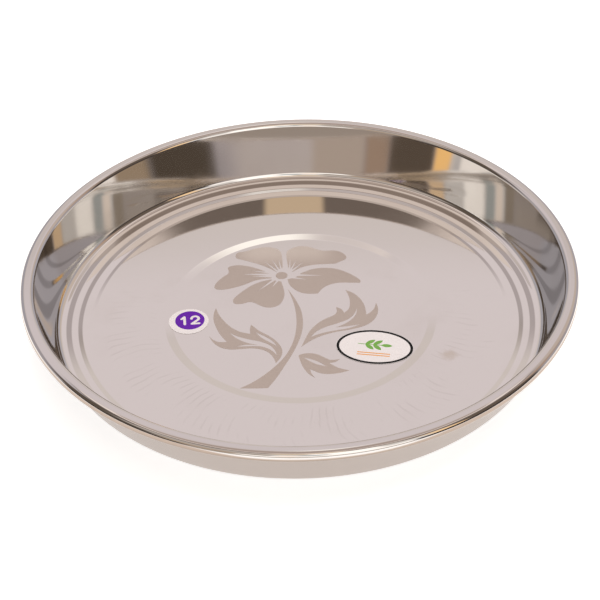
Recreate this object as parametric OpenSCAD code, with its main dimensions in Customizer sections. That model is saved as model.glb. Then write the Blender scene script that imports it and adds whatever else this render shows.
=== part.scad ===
// Stainless steel thali plate: one pressed sheet with a rolled rim, a stepped floor and a sunk
// medallion that carries a frosted flower, with two stuck-on labels.
// Millimetres, +Z up. The origin is under the middle of the plate, on the surface it stands on.

/* [Plate] */
// Diameter over the rolled rim
outer_d = 304.8; // [270:0.1:400]
// Height of the rim's top above the floor
depth = 34; // [24:0.5:60]
// Thickness of the pressed sheet
sheet_t = 0.7; // [0.4:0.05:1]

/* [Rolled rim] */
// Plan width of the roll's flattened top, from the wall to the outer edge
rim_w = 7.4; // [6:0.1:12]
// Height of the roll
rim_h = 6.1; // [5:0.1:10]
// Outside radius of the roll's two outer edges
rim_r = 3; // [1.5:0.1:4]
// Outside radius of the edge where the wall turns into the roll
rim_inner_r = 2.8; // [1.5:0.1:4]
// Plan width of the edge that is turned in under the roll
rim_lip = 6.5; // [4:0.1:6.5]

/* [Wall] */
// Plan distance from the rim's outer edge in to the foot of the wall
wall_flare = 17.3; // [10:0.1:40]
// Inside radius between the wall and the top land
wall_fillet = 4; // [2:0.1:6]

/* [Steps] */
// Height of each of the two steps
step_rise = 0.5; // [0.3:0.05:1]
// Climb of the lands towards the wall, in degrees
land_slope = 3; // [0:0.5:6]
// Land between the wall's foot and the outer step
outer_land = 4.3; // [4:0.1:12]
// Land between the outer step and the inner step
middle_land = 3.4; // [2:0.1:8]
// Land between the inner step and the flat floor
inner_land = 5.8; // [2:0.1:8]
// Plan width of the outer step's slope
outer_run = 3.7; // [2:0.1:5]
// Plan width of the inner step's slope
inner_run = 2.4; // [1.5:0.1:4]
// Radius that the press leaves on the edges of the steps and of the medallion
press_r = 3; // [1:0.5:4]

/* [Medallion] */
// Diameter of the flat medallion in the middle of the floor
medallion_d = 142.4; // [130:0.1:170]
// Plan width of the slope round the medallion
ring_run = 5; // [2:0.1:10]
// Depth of the medallion below the floor
recess = 0.6; // [0.2:0.05:1.5]

/* [Etched flower] */
// Size of the flower, as a share of the one that fills the medallion
flower_scale = 1; // [0.6:0.01:1]
// Thickness given to the frosted skin
frost_t = 0.03; // [0.02:0.01:0.1]

/* [Labels] */
// Thickness of the glue under a label
glue_t = 0.04; // [0.02:0.01:0.1]
// Thickness of a label's film
film_t = 0.1; // [0.05:0.01:0.3]
// Thickness of the printed ink
ink_t = 0.02; // [0.01:0.01:0.05]
// How far the glue stops short of a label's edge
glue_margin = 0.3; // [0.1:0.1:1]

/* [Size label] */
// Diameter of the round label
size_d = 22.2; // [18:0.1:30]
// Diameter of the printed disc
size_print_d = 16.4; // [14:0.1:17.5]
// Sideways place of the round label's middle, as a share of the medallion's radius
size_x = -0.876; // [-1.06:0.001:-0.84]
// Front-to-back place of the round label's middle, as a share of the medallion's radius
size_y = -0.055; // [-0.22:0.001:0.22]
// Turn of the numerals
size_turn = 5; // [-45:1:45]
// Sideways shift of the print on the label
print_shift_x = 0.6; // [-1:0.1:1]
// Front-to-back shift of the print on the label
print_shift_y = 0.9; // [-1:0.1:1]
// Height of the numerals
numeral_h = 8; // [6:0.1:9]
// Stroke of the numerals
numeral_stroke = 1.5; // [1:0.1:1.8]

/* [Oval label] */
// Length of the oval label
oval_l = 42.4; // [36:0.1:48]
// Width of the oval label
oval_w = 29.2; // [24:0.1:32]
// Sideways place of the oval label's middle, as a share of the medallion's radius
oval_x = 0.562; // [0.5:0.001:0.65]
// Front-to-back place of the oval label's middle, as a share of the medallion's radius
oval_y = -0.434; // [-0.48:0.001:-0.39]
// Turn of the oval label
oval_turn = -10; // [-20:1:10]
// White margin outside the printed border
border_margin = 0.2; // [0.2:0.1:1]
// Width of the printed border
border_w = 1.5; // [0.5:0.1:2]
// Length of each printed leaf
leaf_l = 6.4; // [4:0.1:8]
// Width of each printed leaf
leaf_w = 2.6; // [1.5:0.1:3]
// Distance between the pairs of printed leaves
leaf_pitch = 4.2; // [3:0.1:5]
// Width of the printed stalk that carries the leaves
stalk_w = 0.5; // [0.3:0.1:1]
// Angle between the printed stalk and its side leaves
leaf_lean = 40; // [25:1:60]
// Distance of the printed stalk above the middle of the oval label
stalk_y = 1.8; // [0:0.1:3]
// Distance of the printed rules' top edge from the middle of the oval label
rules_y = -5; // [-8:0.1:-4.5]
// Length of the printed rules
rule_l = 18; // [10:0.5:22]
// Width of each printed rule
rule_w = 0.7; // [0.4:0.1:1.2]
// Distance between the two printed rules
rule_pitch = 1.8; // [1.4:0.1:3]

/* [Hidden] */
$fn = 96;

// Largest turn between neighbouring points of a round stretch, in degrees
arc_step = 6;
// Share of a side that the arcs at its two ends may use together
side_use = 0.98;
// Pieces that each stretch of a smooth outline is divided into
curve_steps = 4;
// Room above the floor that an extruded outline needs to pass through a layer
layer_room = 10;
// Radius of the medallion that the flower's outlines are drawn on
drawn_r = 71.2;

// Heights of the sheet's upper face
medallion_z = sheet_t;
floor_z = medallion_z + recess;
inner_toe_z = floor_z + inner_land * tan(land_slope);
inner_step_z = inner_toe_z + step_rise;
outer_toe_z = inner_step_z + middle_land * tan(land_slope);
outer_step_z = outer_toe_z + step_rise;
foot_z = outer_step_z + outer_land * tan(land_slope);
rim_z = floor_z + depth;

// Radii of the sheet's upper face, from the medallion out to the rim
outer_r = outer_d / 2;
medallion_r = medallion_d / 2;
ring_r = medallion_r + ring_run;
foot_r = outer_r - wall_flare;
outer_step_r = foot_r - outer_land;
outer_toe_r = outer_step_r - outer_run;
inner_step_r = outer_toe_r - middle_land;
inner_toe_r = inner_step_r - inner_run;
floor_r = inner_toe_r - inner_land;

// Corners of the sheet's upper face as [radius, height, edge radius]
floor_corners = [
    [0, medallion_z, 0],
    [medallion_r, medallion_z, press_r],
    [ring_r, floor_z, press_r],
    [floor_r, floor_z, press_r]
];
wall_corners = [
    [inner_toe_r, inner_toe_z, press_r],
    [inner_step_r, inner_step_z, press_r],
    [outer_toe_r, outer_toe_z, press_r],
    [outer_step_r, outer_step_z, press_r],
    [foot_r, foot_z, wall_fillet],
    [outer_r - rim_w, rim_z, rim_inner_r],
    [outer_r, rim_z, rim_r],
    [outer_r, rim_z - rim_h, rim_r],
    [outer_r - rim_lip, rim_z - rim_h, 0]
];

// Heights of a label's layers above the floor
film_z = glue_t;
ink_z = glue_t + film_t;

function flat(p) = [p[0], p[1]];
function unit(v) = v / norm(v);
function turned(v, a) = [v[0] * cos(a) - v[1] * sin(a), v[0] * sin(a) + v[1] * cos(a)];
function reversed(list) = [for (i = [len(list) - 1 : -1 : 0]) list[i]];

// Directions from the corner i to its two neighbours
function to_last(corners, i) = unit(flat(corners[i - 1]) - flat(corners[i]));
function to_next(corners, i) = unit(flat(corners[i + 1]) - flat(corners[i]));

// Angle between the two sides that meet at the corner i
function opening(corners, i) = acos(to_last(corners, i) * to_next(corners, i));

// Length of side that the arc at the corner i asks for
function asked(corners, i) =
    i == 0 || i == len(corners) - 1 ? 0 : corners[i][2] / tan(opening(corners, i) / 2);

// Share of that length which the side from i to j has room for
function share(corners, i, j) =
    min(1, side_use * norm(flat(corners[i]) - flat(corners[j])) / (asked(corners, i) + asked(corners, j)));

// Points of the arc that rounds the corner i
function corner_arc(corners, i) =
    let (
        back = to_last(corners, i),
        ahead = to_next(corners, i),
        open = opening(corners, i),
        reach = asked(corners, i) * min(share(corners, i, i - 1), share(corners, i, i + 1)),
        corner = flat(corners[i]),
        centre = corner + unit(back + ahead) * reach / cos(open / 2),
        side = back[0] * ahead[1] - back[1] * ahead[0] < 0 ? 1 : -1,
        sweep = side * (180 - open),
        steps = max(2, ceil((180 - open) / arc_step))
    )
    [for (k = [0 : steps]) centre + turned(corner + back * reach - centre, sweep * k / steps)];

// A path through the corners, with every corner but the two ends rounded
function rounded_path(corners) =
    let (last = len(corners) - 1)
    [
        flat(corners[0]),
        for (i = [1 : last - 1]) each corner_arc(corners, i),
        flat(corners[last])
    ];

// The path moved sideways by d, to the right of the way it runs
function beside(path, d) =
    let (last = len(path) - 1)
    [
        for (i = [0 : last])
            let (
                into = unit(path[max(i, 1)] - path[max(i, 1) - 1]),
                out = unit(path[min(i, last - 1) + 1] - path[min(i, last - 1)]),
                right = [into[1], -into[0]],
                mean = unit(right + [out[1], -out[0]])
            )
            path[i] + mean * d / (mean * right)
    ];

// One stretch of a smooth outline through its points, without the last point
function smooth(p) =
    let (last = len(p) - 1)
    [
        for (i = [0 : last - 1], k = [0 : curve_steps - 1])
            let (
                t = k / curve_steps,
                a = p[max(i - 1, 0)],
                b = p[i],
                c = p[i + 1],
                d = p[min(i + 2, last)]
            )
            b + 0.5 * ((c - a) * t + (2 * a - 5 * b + 4 * c - d) * t * t
                + (3 * b - a - 3 * c + d) * t * t * t)
    ];

// A closed outline from stretches that meet at sharp corners
function outline(stretches) = [for (s = stretches) each smooth(s)];

floor_path = rounded_path(floor_corners);
sheet_path = rounded_path(concat(floor_corners, wall_corners));

module dish() {
    color("silver")
        rotate_extrude($fn = 180)
            polygon(concat(sheet_path, reversed(beside(sheet_path, sheet_t))));
}

// Space between two heights above the floor, following the medallion's edge
module floor_layer(low, high) {
    rotate_extrude($fn = 180)
        polygon(concat(
            [for (p = floor_path) p + [0, low]],
            reversed([for (p = floor_path) p + [0, high]])
        ));
}

// A flat outline laid on the floor between two heights above it
module on_floor(low, high) {
    intersection() {
        linear_extrude(layer_room) children();
        floor_layer(low, high);
    }
}

// A clear streak that narrows to a point
module streak(from, to, width) {
    edge = turned(unit(to - from), 90) * width / 2;
    polygon([from + edge, to, from - edge]);
}

module left_petal() {
    difference() {
        polygon(outline([
            [[-41.5, 45], [-40, 46.5], [-35.5, 47.5], [-29.5, 46.2], [-23.5, 43.2], [-17.5, 39.2]],
            [[-17.5, 39.2], [-16.5, 36.5], [-16, 34]],
            [[-16, 34], [-21, 33.5], [-26, 32], [-31, 29], [-37, 26.2], [-43, 24.5], [-47.5, 25],
             [-48.8, 27.5], [-47.3, 31.8], [-44, 36.5], [-41.3, 39.2], [-40.8, 42], [-41.5, 45]]
        ]));
        streak([-14.5, 39], [-28, 41.7], 2);
        streak([-14.5, 37.3], [-33, 38.7], 3);
        streak([-14.5, 35.6], [-28, 36.3], 2);
    }
}

module lower_petal() {
    difference() {
        polygon(outline([
            [[-16.5, 32.8], [-22, 31], [-27, 28], [-31, 24.2], [-35, 19.5], [-37.6, 15.5], [-37.8, 12.5],
             [-36, 10.7], [-32.5, 10.9], [-29, 12.2], [-26, 11.5], [-22.5, 8.7], [-19, 6.9],
             [-15.5, 6.8], [-12, 8.8], [-9.7, 13], [-8.7, 18.5], [-9.2, 24], [-10.5, 30.7]],
            [[-10.5, 30.7], [-13.5, 31.5], [-16.5, 32.8]]
        ]));
        streak([-14.2, 33], [-24, 22], 1.8);
        streak([-12, 32.5], [-16, 25], 1.4);
    }
}

module right_petal() {
    difference() {
        polygon(outline([
            [[1, 38], [4, 40], [8, 41.7], [12, 42.5], [17, 42.4], [22, 41], [27, 38], [31, 34.5],
             [33.5, 31.7], [35, 29.3], [34.6, 27.4]],
            [[34.6, 27.4], [30, 27.6], [25, 28], [20.5, 27.6], [16, 25.7], [12.7, 22.6], [10.3, 18.4]],
            [[10.3, 18.4], [6, 18.3], [1.5, 19.3], [-2, 21.8], [-4.8, 25.5], [-6.2, 29], [-6.8, 32.6]],
            [[-6.8, 32.6], [-2, 34.5], [1, 38]]
        ]));
        streak([-5, 34.4], [5, 31.7], 1.8);
        streak([-4, 36.6], [14, 35.3], 2.2);
        streak([-1, 38.6], [6.5, 40.3], 0.9);
    }
}

module top_left_petal() {
    difference() {
        polygon(outline([
            [[-36.5, 54.3], [-37, 57], [-35.5, 59.8], [-31, 61], [-26.5, 63], [-21.5, 64.4],
             [-16.5, 64.2], [-12.5, 62.3], [-10.3, 59]],
            [[-10.3, 59], [-9.6, 52], [-9.6, 43.5]],
            [[-9.6, 43.5], [-12, 42], [-13, 39.8]],
            [[-13, 39.8], [-17.5, 43.8], [-22.5, 47.3], [-28, 50.3], [-33, 52.6], [-36.5, 54.3]]
        ]));
        streak([-12.6, 40.6], [-20.5, 51], 1.4);
        streak([-11.6, 41.5], [-15.8, 52.5], 1.3);
        streak([-10.4, 42], [-11.9, 53], 1.1);
    }
}

module top_right_petal() {
    difference() {
        polygon(outline([
            [[-6.2, 43.5], [-6.9, 50], [-7.2, 57.5], [-5.8, 61], [-2, 63.8], [2.5, 64.5], [7, 63.3],
             [11.5, 60.5], [15, 59.3], [19, 59.4], [23, 58.6], [26.2, 56], [27.8, 52.5], [26.8, 50.2],
             [24, 48.3], [21, 46.4]],
            [[21, 46.4], [15, 46.2], [9.5, 46], [4, 44.7], [0, 42.8], [-3.8, 39.6]],
            [[-3.8, 39.6], [-5, 42], [-6.2, 43.5]]
        ]));
        streak([-5.6, 41.5], [-5, 53], 1.1);
        streak([-5, 41], [-1.3, 51.5], 1.3);
        streak([-4.4, 40.5], [3, 49.5], 1.4);
    }
}

module flower_eye() {
    translate([-10.2, 36.3])
        circle(3.4);
}

module stem() {
    polygon(outline([
        [[-6.8, 23.5], [-4.2, 17.5], [-1.5, 10.5], [0.5, 3], [1.3, -5], [1, -13], [-0.5, -21],
         [-3.2, -30], [-6.5, -38.5], [-10.3, -47], [-14, -55], [-18.3, -62.6]],
        [[-18.3, -62.6], [-25, -62.6], [-33.4, -62.2]],
        [[-33.4, -62.2], [-27, -58], [-20.5, -52], [-14.5, -45], [-9.5, -37.5], [-6, -29.5], [-3.7, -21],
         [-2.5, -12], [-2.3, -4], [-2.8, 4], [-4.2, 13], [-6.8, 23.5]]
    ]));
}

module left_leaf() {
    difference() {
        polygon(outline([
            [[-47.4, 7.5], [-45.8, 2], [-42.5, -4.7], [-38.5, -10.3], [-33.5, -14.4], [-28, -16.4]],
            [[-28, -16.4], [-28.2, -12], [-27.6, -8.3]],
            [[-27.6, -8.3], [-23, -14], [-18, -18.3], [-14.3, -22.5], [-11.5, -27.5], [-10.4, -32],
             [-11.2, -37], [-14, -42.3]],
            [[-14, -42.3], [-15.3, -37.5], [-18, -33], [-22, -30.2], [-27, -29], [-33, -29.4],
             [-39, -29.5], [-44.5, -27.3], [-48.3, -23], [-50.8, -17.3]],
            [[-50.8, -17.3], [-48.3, -20.8], [-45, -22.8], [-40.8, -22.8]],
            [[-40.8, -22.8], [-44.3, -17], [-47, -10], [-48.6, -3], [-48.5, 3], [-47.4, 7.5]]
        ]));
        polygon(outline([
            [[-39.5, -15], [-34.5, -18.6], [-28, -21.4], [-22, -23.6], [-17.3, -26.8], [-14.6, -31],
             [-13.3, -35.6]],
            [[-13.3, -35.6], [-15.3, -32.5], [-18.5, -29.3], [-23, -27.4], [-29, -27.1], [-35.6, -27.2]],
            [[-35.6, -27.2], [-30, -25.8], [-24, -26.2]],
            [[-24, -26.2], [-30, -24], [-35.5, -20], [-39.5, -15]]
        ]));
        polygon(outline([
            [[-25, -15.2], [-20.5, -18.6], [-16.3, -22.5], [-13.3, -27.6]],
            [[-13.3, -27.6], [-17.5, -24], [-21.8, -20], [-25, -15.2]]
        ]));
    }
}

module right_leaf() {
    difference() {
        polygon(outline([
            [[0, -29], [2, -23], [4.8, -15.7], [9, -9.3], [14, -4.8], [18.3, -2.2], [20.4, 1], [20.1, 5.4]],
            [[20.1, 5.4], [23, 3.5], [24.6, 0]],
            [[24.6, 0], [27.4, 4], [28.1, 10], [27.6, 15.5], [26, 21]],
            [[26, 21], [30.5, 17.7], [34, 12.5], [36.2, 6], [36.9, -2.3]],
            [[36.9, -2.3], [40, 0.8], [41.7, 4], [42.8, 8.4]],
            [[42.8, 8.4], [43.7, 2.5], [42.3, -4.2], [38.5, -9.8], [33, -13.2], [26, -15.4], [18, -17.2],
             [10.5, -20.3], [4.5, -24.5], [0, -29]]
        ]));
        polygon(outline([
            [[5.3, -20.5], [9, -15.5], [14.5, -11.8], [21, -8.9], [26.8, -5.6], [30.2, -1], [31.9, 4]],
            [[31.9, 4], [31, -1.5], [28.5, -6], [24.3, -10], [19.5, -12.8]],
            [[19.5, -12.8], [26, -12], [33, -10.8]],
            [[33, -10.8], [26.5, -13.8], [19, -15.5], [12, -17.4], [5.3, -20.5]]
        ]));
    }
}

module low_leaf() {
    difference() {
        polygon(outline([
            [[-1.7, -36.3], [0.5, -35], [4.5, -34.6], [8.5, -35.7], [12, -38.3], [15.3, -40.8]],
            [[15.3, -40.8], [18, -40.7], [20.7, -40.3]],
            [[20.7, -40.3], [18, -42.7], [14.8, -43.3]],
            [[14.8, -43.3], [19.5, -47.5], [25.5, -50]],
            [[25.5, -50], [20.5, -51.7], [15, -52.5], [9.5, -51.5], [4.5, -48]],
            [[4.5, -48], [5, -51.5], [7, -55.5]],
            [[7, -55.5], [3.2, -51.5], [0.6, -46], [-0.8, -41], [-1.7, -36.3]]
        ]));
        polygon(outline([
            [[1, -38], [5.5, -39.9], [9.8, -42.7], [13.2, -46]],
            [[13.2, -46], [8.5, -44.3], [4.5, -41.5], [1, -38]]
        ]));
    }
}

module etched_flower() {
    color("tan")
        translate([0, 0, medallion_z])
            linear_extrude(frost_t)
                scale(flower_scale * medallion_r / drawn_r) {
                    left_petal();
                    lower_petal();
                    right_petal();
                    top_left_petal();
                    top_right_petal();
                    flower_eye();
                    stem();
                    left_leaf();
                    right_leaf();
                    low_leaf();
                }
}

// A straight stroke with round ends
module stroke(from, to) {
    translate(from)
        rotate(atan2(to[1] - from[1], to[0] - from[0])) {
            translate([0, -numeral_stroke / 2])
                square([norm(to - from), numeral_stroke]);
            circle(d = numeral_stroke);
            translate([norm(to - from), 0])
                circle(d = numeral_stroke);
        }
}

// The numeral one, with its foot at the origin
module numeral_one() {
    foot = numeral_stroke / 2;
    head = numeral_h - numeral_stroke / 2;
    flag = numeral_h / 5;
    stroke([0, foot], [0, head]);
    stroke([0, head], [-flag, head - flag]);
}

// The numeral two, with the middle of its foot at the origin
module numeral_two() {
    foot = numeral_stroke / 2;
    bowl_r = numeral_h / 4;
    bowl_y = numeral_h - numeral_stroke / 2 - bowl_r;
    turn_end = -40;
    bowl_end = [bowl_r * cos(turn_end), bowl_y + bowl_r * sin(turn_end)];
    far = 2 * numeral_h;
    translate([0, bowl_y])
        intersection() {
            difference() {
                circle(bowl_r + numeral_stroke / 2);
                circle(bowl_r - numeral_stroke / 2);
            }
            polygon([
                [0, 0],
                [far * cos(turn_end), far * sin(turn_end)],
                [far, far],
                [-far, far],
                [-far, 0]
            ]);
        }
    translate([-bowl_r, bowl_y])
        circle(d = numeral_stroke);
    stroke(bowl_end, [-bowl_r, foot]);
    stroke([-bowl_r, foot], [bowl_r, foot]);
}

module numerals() {
    spread = numeral_h * 0.37;
    translate([0, -numeral_h / 2]) {
        translate([-spread, 0]) numeral_one();
        translate([spread, 0]) numeral_two();
    }
}

module at_size_label() {
    translate([size_x, size_y] * medallion_r) children();
}

module size_label_glue() {
    color("ivory")
        on_floor(0, film_z)
            at_size_label() circle(d = size_d - 2 * glue_margin);
}

module size_label_film() {
    color("white")
        on_floor(film_z, ink_z)
            at_size_label() circle(d = size_d);
}

module size_label_print() {
    color("rebeccapurple")
        on_floor(ink_z, ink_z + ink_t)
            at_size_label()
                translate([print_shift_x, print_shift_y])
                    difference() {
                        circle(d = size_print_d);
                        rotate(size_turn) numerals();
                    }
}

// An ellipse with its long axis along X
module ellipse(length, width) {
    polygon([for (a = [0 : arc_step / 2 : 359]) [length / 2 * cos(a), width / 2 * sin(a)]]);
}

module at_oval_label() {
    translate([oval_x, oval_y] * medallion_r)
        rotate(oval_turn) children();
}

module oval_label_glue() {
    color("ivory")
        on_floor(0, film_z)
            at_oval_label() ellipse(oval_l - 2 * glue_margin, oval_w - 2 * glue_margin);
}

module oval_label_film() {
    color("white")
        on_floor(film_z, ink_z)
            at_oval_label() ellipse(oval_l, oval_w);
}

module oval_label_border() {
    outer_trim = 2 * border_margin;
    inner_trim = outer_trim + 2 * border_w;
    color("black")
        on_floor(ink_z, ink_z + ink_t)
            at_oval_label()
                difference() {
                    ellipse(oval_l - outer_trim, oval_w - outer_trim);
                    ellipse(oval_l - inner_trim, oval_w - inner_trim);
                }
}

// A pointed leaf from the origin along X, as two arcs
module printed_leaf() {
    arc_r = (leaf_l * leaf_l / 4 + leaf_w * leaf_w / 4) / leaf_w;
    translate([leaf_l / 2, 0])
        intersection() {
            translate([0, arc_r - leaf_w / 2]) circle(arc_r);
            translate([0, leaf_w / 2 - arc_r]) circle(arc_r);
        }
}

// A stalk with two pairs of leaves and an end leaf
module oval_label_sprig() {
    stalk_l = 3 * leaf_pitch;
    color("forestgreen")
        on_floor(ink_z, ink_z + ink_t)
            at_oval_label()
                translate([-(stalk_l + leaf_l) / 2, stalk_y]) {
                    translate([0, -stalk_w / 2])
                        square([stalk_l + stalk_w, stalk_w]);
                    for (i = [1, 2], side = [-1, 1])
                        translate([i * leaf_pitch, 0])
                            rotate(side * leaf_lean) printed_leaf();
                    translate([stalk_l, 0]) printed_leaf();
                }
}

module oval_label_rules() {
    color("darkorange")
        on_floor(ink_z, ink_z + ink_t)
            at_oval_label()
                for (i = [0, 1])
                    translate([-rule_l / 2, rules_y - i * rule_pitch - rule_w])
                        square([rule_l, rule_w]);
}

dish();
etched_flower();
size_label_glue();
size_label_film();
size_label_print();
oval_label_glue();
oval_label_film();
oval_label_border();
oval_label_sprig();
oval_label_rules();
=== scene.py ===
import math
import bpy
from mathutils import Matrix, Vector


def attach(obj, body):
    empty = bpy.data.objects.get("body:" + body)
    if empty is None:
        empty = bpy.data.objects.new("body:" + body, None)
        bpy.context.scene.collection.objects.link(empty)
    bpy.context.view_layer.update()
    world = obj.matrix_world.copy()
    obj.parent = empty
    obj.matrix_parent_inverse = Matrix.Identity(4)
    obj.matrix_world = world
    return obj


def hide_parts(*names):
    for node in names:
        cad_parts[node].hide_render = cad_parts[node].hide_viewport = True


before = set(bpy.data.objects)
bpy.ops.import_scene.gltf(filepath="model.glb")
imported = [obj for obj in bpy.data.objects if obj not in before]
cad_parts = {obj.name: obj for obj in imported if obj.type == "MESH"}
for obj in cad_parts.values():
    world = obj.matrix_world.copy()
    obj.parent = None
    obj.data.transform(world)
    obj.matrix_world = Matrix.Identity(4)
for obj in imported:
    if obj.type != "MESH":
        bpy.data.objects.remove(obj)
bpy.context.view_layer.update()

mm = 0.001
print("frame loaded:", len(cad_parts), "nodes")


# camera: looks down on the middle of the floor from the front
cameraSet = {
    "lens": 101.86, "sensor": 36.0,
    "nearest": 0.01,  # metres, nothing closer is drawn
    "distance": 0.95,
    "elevation": 38.25,
    "aimHeight": 1.3 * mm,  # upper face of the floor
    "tilt": 0.445,  # degrees, up from the aim
    "roll": -1.64,
}


def placeCamera(s):
    up = math.radians(s["elevation"])
    aim = Vector((0, 0, s["aimHeight"]))
    back = Vector((0, -math.cos(up), math.sin(up)))
    bpy.ops.object.select_all(action="DESELECT")
    bpy.ops.object.camera_add(location=aim + back * s["distance"])
    cam = bpy.context.object
    cam.name = "plateCamera"
    cam.data.lens = s["lens"]
    cam.data.sensor_width = s["sensor"]
    cam.data.clip_start = s["nearest"]
    look = (-back).to_track_quat("-Z", "Y").to_matrix()
    tilt = Matrix.Rotation(math.radians(s["tilt"]), 3, "X")
    roll = Matrix.Rotation(math.radians(s["roll"]), 3, "Z")
    cam.rotation_euler = (look @ (tilt @ roll)).to_euler()
    bpy.context.scene.camera = cam


placeCamera(cameraSet)
bpy.context.scene.view_settings.view_transform = "Standard"
print("camera placed")


# node helpers
def addNode(tree, kind, inputs=None, **settings):
    n = tree.nodes.new(kind)
    for key, value in settings.items():
        setattr(n, key, value)
    for key, value in (inputs or {}).items():
        if isinstance(value, bpy.types.NodeSocket):
            tree.links.new(value, n.inputs[key])
        else:
            n.inputs[key].default_value = value
    return n


def mathNode(tree, operation, a, b=0.0, c=0.0, clamp=False):
    n = addNode(tree, "ShaderNodeMath", {0: a, 1: b, 2: c}, operation=operation, use_clamp=clamp)
    return n.outputs[0]


def times(tree, a, b):
    return mathNode(tree, "MULTIPLY", a, b)


def fade(tree, value, low, high, toLow=0.0, toHigh=1.0, kind="SMOOTHSTEP"):
    n = addNode(tree, "ShaderNodeMapRange",
                {"Value": value, "From Min": low, "From Max": high, "To Min": toLow, "To Max": toHigh},
                interpolation_type=kind)
    return n.outputs["Result"]


def fadeMm(tree, value, span, toLow=0.0, toHigh=1.0):  # a fade between two lengths in mm
    return fade(tree, value, span[0] * mm, span[1] * mm, toLow, toHigh)


mixSocket = {"factor": 0, "a": 6, "b": 7, "result": 2}  # places of the Mix node's colour sockets


def mixColor(tree, factor, a, b):
    inputs = {mixSocket["factor"]: factor}
    for key, value in (("a", a), ("b", b)):
        inputs[mixSocket[key]] = value if isinstance(value, bpy.types.NodeSocket) else (*value, 1)
    n = addNode(tree, "ShaderNodeMix", inputs, data_type="RGBA", clamp_factor=True)
    return n.outputs[mixSocket["result"]]


def noise(tree, where, scale, detail):
    n = addNode(tree, "ShaderNodeTexNoise", {"Vector": where, "Scale": scale, "Detail": detail})
    return n.outputs["Fac"]


def flatten(tree, where):  # a point's parts, the point with no height, and its distance from the axis
    xyz = addNode(tree, "ShaderNodeSeparateXYZ", {0: where}).outputs
    flat = addNode(tree, "ShaderNodeCombineXYZ", {"X": xyz["X"], "Y": xyz["Y"]}).outputs[0]
    radius = addNode(tree, "ShaderNodeVectorMath", {0: flat}, operation="LENGTH").outputs["Value"]
    return xyz, flat, radius


def bumpUp(tree, shader, height, strength, distance):
    bump = addNode(tree, "ShaderNodeBump", {"Strength": strength, "Distance": distance, "Height": height})
    tree.links.new(bump.outputs[0], shader.inputs["Normal"])


def newGroup(name, inputs, outputs):
    g = bpy.data.node_groups.new(name, "ShaderNodeTree")
    for label, kind, value in inputs:
        s = g.interface.new_socket(label, in_out="INPUT", socket_type=kind)
        if value is not None:
            s.default_value = value
    for label, kind in outputs:
        g.interface.new_socket(label, in_out="OUTPUT", socket_type=kind)
    return g, g.nodes.new("NodeGroupInput").outputs, g.nodes.new("NodeGroupOutput").inputs


def newMaterial(name):
    m = bpy.data.materials.new(name)
    m.use_nodes = True
    tree = m.node_tree
    tree.nodes.clear()
    shader = tree.nodes.new("ShaderNodeBsdfPrincipled")
    end = tree.nodes.new("ShaderNodeOutputMaterial")
    tree.links.new(shader.outputs[0], end.inputs["Surface"])
    where = tree.nodes.new("ShaderNodeTexCoord").outputs["Object"]
    return m, tree, shader, where


# the dish: its section is drawn point by point, then spun round the plate's axis
dishSet = {
    "outerDia": 304.8, "depth": 34.0, "sheet": 0.7,
    "rimWidth": 7.4, "rimHeight": 6.1, "rimRadius": 3.0, "rimInner": 2.8, "rimLip": 6.5,
    "wallFlare": 17.3, "wallFillet": 4.0,
    "stepRise": 0.5, "landSlope": 3.0,  # degrees that each land climbs outwards
    "outerLand": 4.3, "middleLand": 3.4, "innerLand": 5.8,
    "outerRun": 3.7, "innerRun": 2.4,
    "pressRadius": 3.0,
    "sideUse": 0.98,  # most of a side that the arcs at its two ends may take
    "medallionDia": 142.4, "ringRun": 5.0, "recess": 0.6,
    "pressSteps": 4,  # stretches on each small pressed corner
    "filletSteps": 16, "rimSteps": 16,
    "brace": 0.25,  # keeps the flats flat next to the round corners
    "leastFlat": 0.75,  # shorter flats have no brace points
    "spinSteps": 288,
    "mergeWithin": 0.002,
    "smoothAngle": 40,
}


def arcReach(points, radii, i):
    back, ahead = points[i - 1] - points[i], points[i + 1] - points[i]
    return radii[i] / math.tan(back.angle(ahead) / 2)


def cornerArc(points, radii, i, steps, sideUse):
    b = points[i]
    back, ahead = points[i - 1] - b, points[i + 1] - b
    asked = arcReach(points, radii, i)
    reach = asked
    for j, side in ((i - 1, back.length), (i + 1, ahead.length)):
        other = arcReach(points, radii, j) if radii[j] else 0.0
        reach = min(reach, asked * sideUse * side / (asked + other))
    back, ahead = back.normalized(), ahead.normalized()
    half = back.angle(ahead) / 2
    middle = b + (back + ahead).normalized() * (reach / math.cos(half))
    start, end = b + back * reach - middle, b + ahead * reach - middle
    turn = math.atan2(start.x * end.y - start.y * end.x, start.dot(end))
    arc = []
    for k in range(steps + 1):
        t = turn * k / steps
        arc.append(middle + Vector((start.x * math.cos(t) - start.y * math.sin(t),
                                    start.x * math.sin(t) + start.y * math.cos(t))))
    return arc


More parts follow.
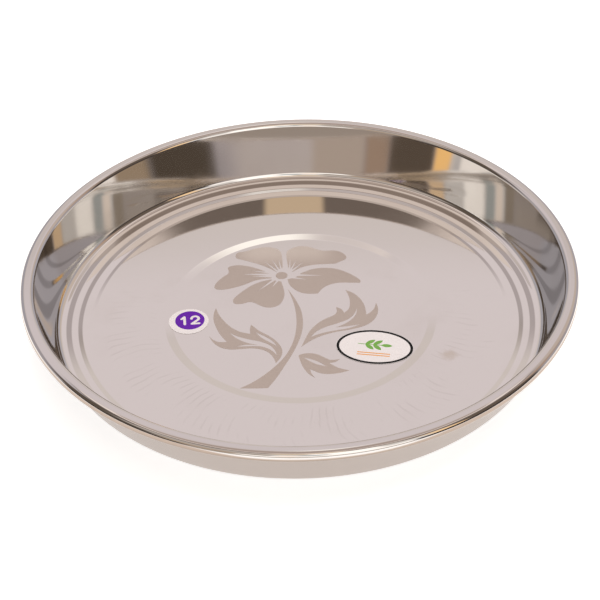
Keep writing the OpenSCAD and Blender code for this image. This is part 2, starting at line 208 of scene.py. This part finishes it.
def sheetPath(s):
    climb = math.tan(math.radians(s["landSlope"]))
    outer = s["outerDia"] / 2
    medallion = s["medallionDia"] / 2
    foot = outer - s["wallFlare"]
    outerStep = foot - s["outerLand"]
    outerToe = outerStep - s["outerRun"]
    innerStep = outerToe - s["middleLand"]
    innerToe = innerStep - s["innerRun"]
    floorEdge = innerToe - s["innerLand"]
    floorZ = s["sheet"] + s["recess"]
    topZ = floorZ + s["depth"]
    innerToeZ = floorZ + s["innerLand"] * climb
    innerStepZ = innerToeZ + s["stepRise"]
    outerToeZ = innerStepZ + s["middleLand"] * climb
    outerStepZ = outerToeZ + s["stepRise"]
    footZ = outerStepZ + s["outerLand"] * climb
    press = (s["pressRadius"], s["pressSteps"])
    rim = (s["rimRadius"], s["rimSteps"])
    corners = [
        (0, s["sheet"], None),
        (medallion, s["sheet"], press),
        (medallion + s["ringRun"], floorZ, press),
        (floorEdge, floorZ, press),
        (innerToe, innerToeZ, press),
        (innerStep, innerStepZ, press),
        (outerToe, outerToeZ, press),
        (outerStep, outerStepZ, press),
        (foot, footZ, (s["wallFillet"], s["filletSteps"])),
        (outer - s["rimWidth"], topZ, (s["rimInner"], s["rimSteps"])),
        (outer, topZ, rim),
        (outer, topZ - s["rimHeight"], rim),
        (outer - s["rimLip"], topZ - s["rimHeight"], None),
    ]
    points = [Vector(c[:2]) for c in corners]
    radii = [c[2][0] if c[2] else 0.0 for c in corners]
    path = [points[0]]
    for i in range(1, len(points) - 1):
        arc = cornerArc(points, radii, i, corners[i][2][1], s["sideUse"])
        gap = arc[0] - path[-1]
        if gap.length > s["leastFlat"]:  # brace points at both ends of a flat
            along = gap.normalized() * s["brace"]
            path += ([path[-1] + along] if i > 1 else []) + [arc[0] - along]
        path += arc
    return path + [points[-1]]


def besidePath(path, distance):
    moved = []
    for i, p in enumerate(path):
        into = (path[max(i, 1)] - path[max(i, 1) - 1]).normalized()
        out = (path[min(i + 1, len(path) - 1)] - path[min(i, len(path) - 2)]).normalized()
        right = Vector((into.y, -into.x))
        mean = (right + Vector((out.y, -out.x))).normalized()
        moved.append(p + mean * (distance / mean.dot(right)))
    return moved


def spinDish(s):
    upper = sheetPath(s)
    lower = besidePath(upper, s["sheet"])
    section = upper + lower[::-1]
    bpy.ops.object.select_all(action="DESELECT")
    bpy.ops.mesh.primitive_plane_add(size=10 * mm, location=(0, 0, 0))
    plate = bpy.context.object
    plate.name = plate.data.name = "steelDish"
    bpy.ops.object.mode_set(mode="EDIT")
    bpy.ops.mesh.select_all(action="SELECT")
    bpy.ops.mesh.merge(type="CENTER")  # one point, which is drawn along the section
    bpy.ops.transform.translate(value=(section[0].x * mm, 0, section[0].y * mm))
    for a, b in zip(section, section[1:]):
        step = (b - a) * mm
        bpy.ops.mesh.extrude_region_move(TRANSFORM_OT_translate={"value": (step.x, 0, step.y)})
    bpy.ops.mesh.select_all(action="SELECT")
    bpy.ops.mesh.spin(steps=s["spinSteps"], angle=2 * math.pi, center=(0, 0, 0), axis=(0, 0, 1))
    bpy.ops.mesh.select_all(action="SELECT")
    bpy.ops.mesh.remove_doubles(threshold=s["mergeWithin"] * mm)
    bpy.ops.mesh.normals_make_consistent(inside=False)
    bpy.ops.object.mode_set(mode="OBJECT")
    bpy.ops.object.shade_smooth_by_angle(angle=math.radians(s["smoothAngle"]))
    return plate


steelDish = spinDish(dishSet)
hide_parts("dish")
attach(steelDish, "root")
print("dish spun:", len(steelDish.data.polygons), "faces")


# polishing strokes: short bowed lines in a ring round the floor, in patches
strokeSet = {
    "count": 132.0,
    "middleRadius": 95.0, "halfWidth": 16.0,  # the ring that they lie in
    "bulge": 0.035,  # radians that their ends bow by
    "wander": 0.05, "wanderScale": 55.0,
    "line": (0.5, 1.0),  # the part of each wave that shows
    "patch": (0.46, 0.66), "patchScale": 46.0,
    "ringEdge": (1.0, 0.72),  # shares of the half width
}


def polishArcsGroup(s):
    g, inp, out = newGroup("polishArcs", [
        ("Vector", "NodeSocketVector", None),
        ("Count", "NodeSocketFloat", s["count"]),
        ("Middle Radius", "NodeSocketFloat", s["middleRadius"] * mm),
        ("Half Width", "NodeSocketFloat", s["halfWidth"] * mm),
        ("Bulge", "NodeSocketFloat", s["bulge"]),
    ], [("Lines", "NodeSocketFloat")])
    where = inp["Vector"]
    xyz, _, radius = flatten(g, where)
    angle = mathNode(g, "ARCTAN2", xyz["Y"], xyz["X"])
    across = mathNode(g, "DIVIDE", mathNode(g, "SUBTRACT", radius, inp["Middle Radius"]), inp["Half Width"])
    bow = times(g, times(g, across, across), inp["Bulge"])
    stray = noise(g, where, s["wanderScale"], 2.0)
    shaky = mathNode(g, "MULTIPLY_ADD", stray, s["wander"], mathNode(g, "SUBTRACT", angle, bow))
    lines = fade(g, mathNode(g, "SINE", times(g, shaky, inp["Count"])), *s["line"])
    patches = fade(g, noise(g, where, s["patchScale"], 2.0), *s["patch"])
    ring = fade(g, mathNode(g, "ABSOLUTE", across), *s["ringEdge"])
    g.links.new(times(g, lines, times(g, patches, ring)), out["Lines"])
    return g


# haze: soft uneven clouding of the polish
def hazeGroup():
    g, inp, out = newGroup("handledHaze", [
        ("Vector", "NodeSocketVector", None),
        ("Size", "NodeSocketFloat", 22.0),
        ("Low", "NodeSocketFloat", 0.5),
        ("High", "NodeSocketFloat", 0.75),
    ], [("Haze", "NodeSocketFloat")])
    cloud = addNode(g, "ShaderNodeTexNoise", {"Vector": inp["Vector"], "Scale": inp["Size"],
                                              "Detail": 4.0, "Roughness": 0.6})
    g.links.new(fade(g, cloud.outputs["Fac"], inp["Low"], inp["High"]), out["Haze"])
    return g


# grain: fine noise that varies the roughness too, for etched steel, film and ink
def grainGroup():
    g, inp, out = newGroup("surfaceGrain", [
        ("Vector", "NodeSocketVector", None),
        ("Scale", "NodeSocketFloat", 1000.0),
        ("Detail", "NodeSocketFloat", 2.0),
        ("Low", "NodeSocketFloat", 0.3), ("High", "NodeSocketFloat", 0.7),
        ("Smoothest", "NodeSocketFloat", 0.3), ("Roughest", "NodeSocketFloat", 0.4),
    ], [("Grain", "NodeSocketFloat"), ("Roughness", "NodeSocketFloat")])
    grain = noise(g, inp["Vector"], inp["Scale"], inp["Detail"])
    rough = fade(g, grain, inp["Low"], inp["High"], inp["Smoothest"], inp["Roughest"])
    g.links.new(grain, out["Grain"])
    g.links.new(rough, out["Roughness"])
    return g


polishArcs = polishArcsGroup(strokeSet)
handledHaze = hazeGroup()
surfaceGrain = grainGroup()


def addGrain(tree, shader, where, scale, detail, smoothest, roughest):
    inputs = {"Vector": where, "Scale": scale, "Detail": detail, "Smoothest": smoothest, "Roughest": roughest}
    n = addNode(tree, "ShaderNodeGroup", inputs, node_tree=surfaceGrain)
    tree.links.new(n.outputs["Roughness"], shader.inputs["Roughness"])
    return n.outputs["Grain"]


# steel: lengths in mm, and each pair of them is where a zone starts and where it is full
# the darker arcs and the roll's lower half are painted reflection and shade, to match lines that the real
# steel shows
steelSet = {
    "color": (0.70, 0.675, 0.65), "hazeColor": (0.68, 0.652, 0.625),
    "roughLow": 0.045, "roughHigh": 0.085,  # clear and hazy
    "strokeColor": (0.652, 0.626, 0.60), "strokeY": (40, -10),  # strokes show in front
    "reflectionArcColor": (0.43, 0.405, 0.385),
    "arcs": [  # inner radius, outer radius, Y
        (115.3, 117.1, (5, 50)),  # where the floor begins to climb
        (121.5, 123.8, (-52, -15)),  # slopes of the two steps
        (127.4, 130.3, (-52, -15)),
    ],
    "arcEdge": 0.35,
    "arcBackY": (115, 60), "arcBack": 0.6,  # weaker at the very back
    "rimColor": (0.645, 0.62, 0.603), "rimZ": (34.2, 35.0),  # top of the rim
    "rollShadeColor": (0.40, 0.32, 0.265), "rollRadius": (146.5, 148.5),  # lower half of the roll, painted shade under it and a painted reflection of dark things below
    "rollTop": 34.0, "rollEdge": 0.8,
    "lowTop": 32.7,  # that zone starts lower on a stretch in front
    "lowX": 8.0, "lowHalf": (75, 25), "lowY": (-100, -130),
    "markColor": (0.60, 0.55, 0.49), "markPlace": (80.0, -39.8),  # small mark on the floor
    "markEdge": (2.5, -3.5), "markStray": 8.0, "markScale": 260.0,
    "brushedAndShadedColor": (0.535, 0.475, 0.44), "outsideRough": 0.26,  # the outside is only brushed, and its darker colour is partly painted shade, for the shaded floor that it mirrors
    "outsideFacing": (0.05, -0.3), "outsideZ": (28.6, 27.6),  # faces that look down, but not the rim
    "ripple": 0.06, "rippleDepth": 0.5, "rippleScale": 26.0,
}


# painted reflection: darker bands on the step slopes and where the floor climbs, at the back only
def paintedReflectionArcs(tree, s, radius, y):
    dark = 0.0
    for inner, outer, span in s["arcs"]:
        off = mathNode(tree, "ABSOLUTE", mathNode(tree, "SUBTRACT", radius, (inner + outer) / 2 * mm))
        half = (outer - inner) / 2
        band = fadeMm(tree, off, (half + s["arcEdge"], half - s["arcEdge"]))
        dark = mathNode(tree, "MAXIMUM", dark, times(tree, band, fadeMm(tree, y, span)))
    return times(tree, dark, fadeMm(tree, y, s["arcBackY"], s["arcBack"], 1.0))


# painted shade and reflection: darker lower half of the roll, lowered on a stretch in front where the floor's
# reflection shows
def paintedRollShade(tree, s, xyz, radius):
    aside = mathNode(tree, "ABSOLUTE", mathNode(tree, "SUBTRACT", xyz["X"], s["lowX"] * mm))
    lowered = times(tree, fadeMm(tree, aside, s["lowHalf"]), fadeMm(tree, xyz["Y"], s["lowY"]))
    top = fade(tree, lowered, 0, 1, s["rollTop"] * mm, s["lowTop"] * mm, "LINEAR")
    below = mathNode(tree, "SUBTRACT", top, xyz["Z"])
    under = mathNode(tree, "MULTIPLY", below, 1 / (s["rollEdge"] * mm), clamp=True)
    return times(tree, under, fadeMm(tree, radius, s["rollRadius"]))


def floorMark(tree, s, where, flat):
    place = (*(p * mm for p in s["markPlace"]), 0)
    away = addNode(tree, "ShaderNodeVectorMath", {0: flat, 1: place}, operation="DISTANCE").outputs["Value"]
    blot = noise(tree, where, s["markScale"], 3.0)
    return fadeMm(tree, mathNode(tree, "MULTIPLY_ADD", blot, -s["markStray"] * mm, away), s["markEdge"])


def outsideMask(tree, s, z):
    normal = tree.nodes.new("ShaderNodeTexCoord").outputs["Normal"]
    facing = addNode(tree, "ShaderNodeSeparateXYZ", {0: normal}).outputs["Z"]
    return times(tree, fade(tree, facing, *s["outsideFacing"]), fadeMm(tree, z, s["outsideZ"]))


def polishedSteel(s):
    m, tree, shader, where = newMaterial("polishedSteel")
    xyz, flat, radius = flatten(tree, where)
    strokes = addNode(tree, "ShaderNodeGroup", {"Vector": where}, node_tree=polishArcs).outputs["Lines"]
    haze = addNode(tree, "ShaderNodeGroup", {"Vector": where}, node_tree=handledHaze).outputs["Haze"]
    outside = outsideMask(tree, s, xyz["Z"])
    layers = [
        (times(tree, strokes, fadeMm(tree, xyz["Y"], s["strokeY"])), s["strokeColor"]),
        (paintedReflectionArcs(tree, s, radius, xyz["Y"]), s["reflectionArcColor"]),
        (fadeMm(tree, xyz["Z"], s["rimZ"]), s["rimColor"]),
        (paintedRollShade(tree, s, xyz, radius), s["rollShadeColor"]),
        (floorMark(tree, s, where, flat), s["markColor"]),
        (outside, s["brushedAndShadedColor"]),
    ]
    base = mixColor(tree, haze, s["color"], s["hazeColor"])
    for mask, color in layers:
        base = mixColor(tree, mask, base, color)
    tree.links.new(base, shader.inputs["Base Color"])
    rough = fade(tree, haze, 0, 1, s["roughLow"], s["roughHigh"], "LINEAR")
    rough = fade(tree, outside, 0, 1, rough, s["outsideRough"], "LINEAR")
    tree.links.new(rough, shader.inputs["Roughness"])
    bumpUp(tree, shader, noise(tree, where, s["rippleScale"], 1.0), s["ripple"], s["rippleDepth"] * mm)
    shader.inputs["Metallic"].default_value = 1.0
    return m


frostSet = {
    "color": (0.545, 0.48, 0.43), "cloudColor": (0.585, 0.52, 0.47), "cloudScale": 45.0,
    "sheenColor": (0.70, 0.64, 0.58),  # the upper petals are painted paler, a painted sheen of reflected light
    "sheenY": (42, 60), "sheenX": -8.0, "sheenHalf": (34, 16),
    "smoothest": 0.32, "roughest": 0.40,
    "grainScale": 2600.0, "grain": 0.1, "grainDepth": 0.05,
}


def frostedSteel(s):
    m, tree, shader, where = newMaterial("frostedSteel")
    grain = addGrain(tree, shader, where, s["grainScale"], 2.0, s["smoothest"], s["roughest"])
    base = mixColor(tree, noise(tree, where, s["cloudScale"], 2.0), s["color"], s["cloudColor"])
    xyz = addNode(tree, "ShaderNodeSeparateXYZ", {0: where}).outputs
    # painted sheen: the upper petals are paler, as if lit by a reflected light
    aside = mathNode(tree, "ABSOLUTE", mathNode(tree, "SUBTRACT", xyz["X"], s["sheenX"] * mm))
    pale = times(tree, fadeMm(tree, xyz["Y"], s["sheenY"]), fadeMm(tree, aside, s["sheenHalf"]))
    tree.links.new(mixColor(tree, pale, base, s["sheenColor"]), shader.inputs["Base Color"])
    bumpUp(tree, shader, grain, s["grain"], s["grainDepth"] * mm)
    shader.inputs["Metallic"].default_value = 1.0
    return m


# labels: film and glue, then inks, each with two shades of its colour and its smoothest roughness
filmSet = {
    "sheets": [
        ("whiteFilm", (0.755, 0.725, 0.732), (0.725, 0.695, 0.70), 0.25,
         ("size_label_film", "oval_label_film")),
        ("clearGlue", (0.85, 0.82, 0.74), (0.78, 0.75, 0.66), 0.4,
         ("size_label_glue", "oval_label_glue")),
    ],
    "roughSpread": 0.12,
    "grainScale": 160.0, "grain": 0.05, "grainDepth": 0.1,
}
inkSet = {
    "inks": [
        ("purpleInk", (0.115, 0.0125, 0.35), (0.135, 0.02, 0.39), 0.45, "size_label_print"),
        ("blackInk", (0.006, 0.006, 0.007), (0.015, 0.015, 0.015), 0.55, "oval_label_border"),
        ("greenInk", (0.16, 0.36, 0.07), (0.22, 0.43, 0.10), 0.3, "oval_label_sprig"),
        ("orangeInk", (0.72, 0.30, 0.05), (0.78, 0.38, 0.10), 0.3, "oval_label_rules"),
    ],
    "roughSpread": 0.1,
    "specks": (0.45, 0.8), "speckScale": 1800.0,
    "shine": 0.15,  # flat ink
}


def labelFilm(s, name, color, shade, smoothest):
    m, tree, shader, where = newMaterial(name)
    grain = addGrain(tree, shader, where, s["grainScale"], 3.0, smoothest, smoothest + s["roughSpread"])
    tree.links.new(mixColor(tree, grain, color, shade), shader.inputs["Base Color"])
    bumpUp(tree, shader, grain, s["grain"], s["grainDepth"] * mm)
    return m


def printedInk(s, name, color, speckColor, smoothest):
    m, tree, shader, where = newMaterial(name)
    grain = addGrain(tree, shader, where, s["speckScale"], 2.0, smoothest, smoothest + s["roughSpread"])
    specks = fade(tree, grain, *s["specks"])
    tree.links.new(mixColor(tree, specks, color, speckColor), shader.inputs["Base Color"])
    shader.inputs["Specular IOR Level"].default_value = s["shine"]
    return m


def dress(nodeName, material):
    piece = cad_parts[nodeName]
    piece.data.materials.clear()
    piece.data.materials.append(material)


steelDish.data.materials.append(polishedSteel(steelSet))
dress("etched_flower", frostedSteel(frostSet))
for *look, nodeNames in filmSet["sheets"]:
    film = labelFilm(filmSet, *look)
    for nodeName in nodeNames:
        dress(nodeName, film)
for *look, nodeName in inkSet["inks"]:
    dress(nodeName, printedInk(inkSet, *look))
print("materials on")


# stage: pale floor, and a room of soft panels that the steel mirrors
floorSet = {"size": 8.0, "color": (0.77, 0.79, 0.80), "ownLight": 0.66}


def layFloor(s):
    bpy.ops.object.select_all(action="DESELECT")
    bpy.ops.mesh.primitive_plane_add(size=s["size"], location=(0, 0, 0))
    floor = bpy.context.object
    floor.name = "studioFloor"
    m = bpy.data.materials.new("studioFloor")
    m.use_nodes = True
    tree = m.node_tree
    tree.nodes.clear()
    matte = addNode(tree, "ShaderNodeBsdfDiffuse", {"Color": (*s["color"], 1)})
    glow = addNode(tree, "ShaderNodeEmission", {"Color": (1, 1, 1, 1)})
    path = tree.nodes.new("ShaderNodeLightPath").outputs
    seen = mathNode(tree, "MAXIMUM", path["Is Camera Ray"],
                    mathNode(tree, "MAXIMUM", path["Is Glossy Ray"], path["Is Transmission Ray"]))
    tree.links.new(times(tree, seen, s["ownLight"]), glow.inputs["Strength"])
    both = addNode(tree, "ShaderNodeAddShader", {0: matte.outputs[0], 1: glow.outputs[0]})
    end = tree.nodes.new("ShaderNodeOutputMaterial")
    tree.links.new(both.outputs[0], end.inputs["Surface"])
    floor.data.materials.append(m)


# room: each panel has an azimuth from, to and edge, an elevation from, to and edge, and a colour
# degrees, azimuth 0 behind the plate and 90 to its right, and later panels cover earlier ones
roomSet = {
    "walls": (0.50, 0.46, 0.48),
    "panels": [
        (-180, 180, 1, 49, 100, 4, (0.28, 0.225, 0.195)),  # dark all round, high up
        (156, 199, 6, 60, 75, 6, (1.00, 0.78, 0.55)),  # warm light high in front
        (-64, 24, 30, 34, 47, 6, (0.90, 0.81, 0.82)),  # pale panel behind
        (-50, 24, 20, 32, 36, 3, (0.815, 0.73, 0.70)),
        (10, 50, 6, 5, 30, 6, (0.57, 0.54, 0.58)),  # grey beside its foot
        (-50, -12, 6, 5, 30, 6, (0.51, 0.49, 0.53)),
        (-14, 12, 6, -14, 34, 5, (0.84, 0.755, 0.72)),  # its warmer foot
        (14, 58, 10, 27, 47, 6, (0.74, 0.62, 0.54)),  # its tan end
        (58, 78, 8, 26, 47, 6, (0.58, 0.42, 0.32)),
        (78, 116, 6, 22, 50, 6, (0.17, 0.13, 0.10)),  # dark panel on the right
        (84, 140, 6, -12, 23, 3, (0.07, 0.055, 0.05)),
        (117, 131, 5, 31, 50, 4, (1.15, 0.85, 0.55)),  # warm edge of the front light
        (117, 133, 5, 25, 31, 2, (1.60, 0.98, 0.38)),
        (131, 222, 6, 42, 60, 4, (0.78, 0.70, 0.64)),  # upper part of the front light
        (146, 178, 6, 41, 58, 3, (1.60, 1.54, 1.48)),
        (131, 193, 5, 24, 43, 6, (1.00, 0.96, 0.93)),  # its lower part, in strips
        (140, 193, 5, 11, 43, 6, (1.00, 0.96, 0.93)),
        (150, 170, 6, 11, 43, 6, (1.65, 1.60, 1.54)),
        (140, 206, 5, 11, 26, 4, (1.50, 1.42, 1.36)),
        (172, 181, 4, 28, 43, 5, (0.62, 0.66, 0.66)),
        (183, 190, 4, 11, 43, 6, (1.35, 1.20, 1.08)),
        (193, 204, 5, 28, 43, 6, (0.48, 0.41, 0.34)),
        (204, 236, 8, 14, 32, 5, (0.55, 0.42, 0.30)),  # brown panels left of it
        (204, 262, 8, 33, 56, 4, (0.60, 0.53, 0.48)),
        (236, 290, 14, 16, 34, 4, (0.14, 0.11, 0.085)),  # dark panel on the left
        (262, 290, 14, 32, 50, 5, (0.14, 0.11, 0.085)),
        (222, 276, 6, -12, 17, 3, (0.07, 0.055, 0.05)),
        (140, 222, 10, -12, 10, 4, (0.41, 0.34, 0.29)),  # brown foot in front
    ],
    "ringTilt": 13.0,  # ring of light overhead, leaning back
    "ringLow": 59.0, "ringHigh": 65.0, "ringSoft": 1.2,
    "ringColor": (1.18, 1.04, 0.97),
    "ceiling": (0.58, 0.47, 0.41),
    "backPanels": [
        (-27, 27, 6, 46, 60, 6, (0.86, 0.77, 0.75)),  # drape that hides the ring at the back
        (-0.5, 4.5, 2.5, 45, 58, 4, (1.45, 1.38, 1.30)),  # gap in it
    ],
}


def softPanelGroup():
    g, inp, out = newGroup("softPanel", [
        ("Azimuth", "NodeSocketFloat", 0.0),
        ("Elevation", "NodeSocketFloat", 0.0),
        ("From", "NodeSocketFloat", 0.0), ("To", "NodeSocketFloat", 0.0),
        ("Low", "NodeSocketFloat", 0.0), ("High", "NodeSocketFloat", 0.0),
        ("Side Edge", "NodeSocketFloat", 1.0), ("Height Edge", "NodeSocketFloat", 1.0),
    ], [("Mask", "NodeSocketFloat")])
    half = times(g, mathNode(g, "SUBTRACT", inp["To"], inp["From"]), 0.5)
    middle = mathNode(g, "ADD", inp["From"], half)
    away = mathNode(g, "SUBTRACT", inp["Azimuth"], middle)
    away = mathNode(g, "ABSOLUTE", mathNode(g, "WRAP", away, -180.0, 180.0))
    edge = inp["Height Edge"]
    side = mathNode(g, "DIVIDE", mathNode(g, "SUBTRACT", half, away), inp["Side Edge"])
    low = mathNode(g, "DIVIDE", mathNode(g, "SUBTRACT", inp["Elevation"], inp["Low"]), edge)
    high = mathNode(g, "DIVIDE", mathNode(g, "SUBTRACT", inp["High"], inp["Elevation"]), edge)
    inside = mathNode(g, "MINIMUM", side, mathNode(g, "MINIMUM", low, high))
    g.links.new(fade(g, inside, -0.5, 0.5), out["Mask"])
    return g


def lightRoom(s):
    world = bpy.data.worlds.new("studioRoom")
    bpy.context.scene.world = world
    world.use_nodes = True
    tree = world.node_tree
    tree.nodes.clear()
    softPanel = softPanelGroup()
    xyz = addNode(tree, "ShaderNodeSeparateXYZ",
                  {0: tree.nodes.new("ShaderNodeTexCoord").outputs["Generated"]}).outputs
    azimuth = mathNode(tree, "DEGREES", mathNode(tree, "ARCTAN2", xyz["X"], xyz["Y"]))
    elevation = mathNode(tree, "DEGREES", mathNode(tree, "ARCSINE", xyz["Z"]))

    def hang(color, panels):
        for start, stop, sideEdge, low, high, heightEdge, shade in panels:
            mask = addNode(tree, "ShaderNodeGroup", node_tree=softPanel)
            for key, value in (("Azimuth", azimuth), ("Elevation", elevation)):
                tree.links.new(value, mask.inputs[key])
            for key, value in (("From", start), ("To", stop), ("Side Edge", sideEdge),
                               ("Low", low), ("High", high), ("Height Edge", heightEdge)):
                mask.inputs[key].default_value = value
            color = mixColor(tree, mask.outputs["Mask"], color, shade)
        return color

    color = hang(s["walls"], s["panels"])
    lean = math.radians(s["ringTilt"])
    upward, backward = times(tree, xyz["Z"], math.cos(lean)), times(tree, xyz["Y"], math.sin(lean))
    rise = mathNode(tree, "DEGREES", mathNode(tree, "ARCSINE", mathNode(tree, "ADD", upward, backward)))
    for edge, shade in ((s["ringLow"], s["ringColor"]), (s["ringHigh"], s["ceiling"])):
        over = fade(tree, rise, edge - s["ringSoft"] / 2, edge + s["ringSoft"] / 2)
        color = mixColor(tree, over, color, shade)
    color = hang(color, s["backPanels"])
    glow = addNode(tree, "ShaderNodeBackground", {"Color": color})
    end = tree.nodes.new("ShaderNodeOutputWorld")
    tree.links.new(glow.outputs[0], end.inputs["Surface"])


# one broad soft lamp overhead for the labels and the floor
lampSet = {"place": (0.45, 0.45, 1.6), "size": 1.6, "power": 20.0}


def hangLamp(s):
    bpy.ops.object.select_all(action="DESELECT")
    bpy.ops.object.light_add(type="AREA", location=s["place"])
    lamp = bpy.context.object
    lamp.name = "softLamp"
    lamp.data.size = s["size"]
    lamp.data.energy = s["power"]
    lamp.rotation_euler = (-Vector(s["place"])).to_track_quat("-Z", "Y").to_euler()
    lamp.visible_glossy = False  # the steel mirrors the room alone


layFloor(floorSet)
lightRoom(roomSet)
hangLamp(lampSet)
print("stage set")
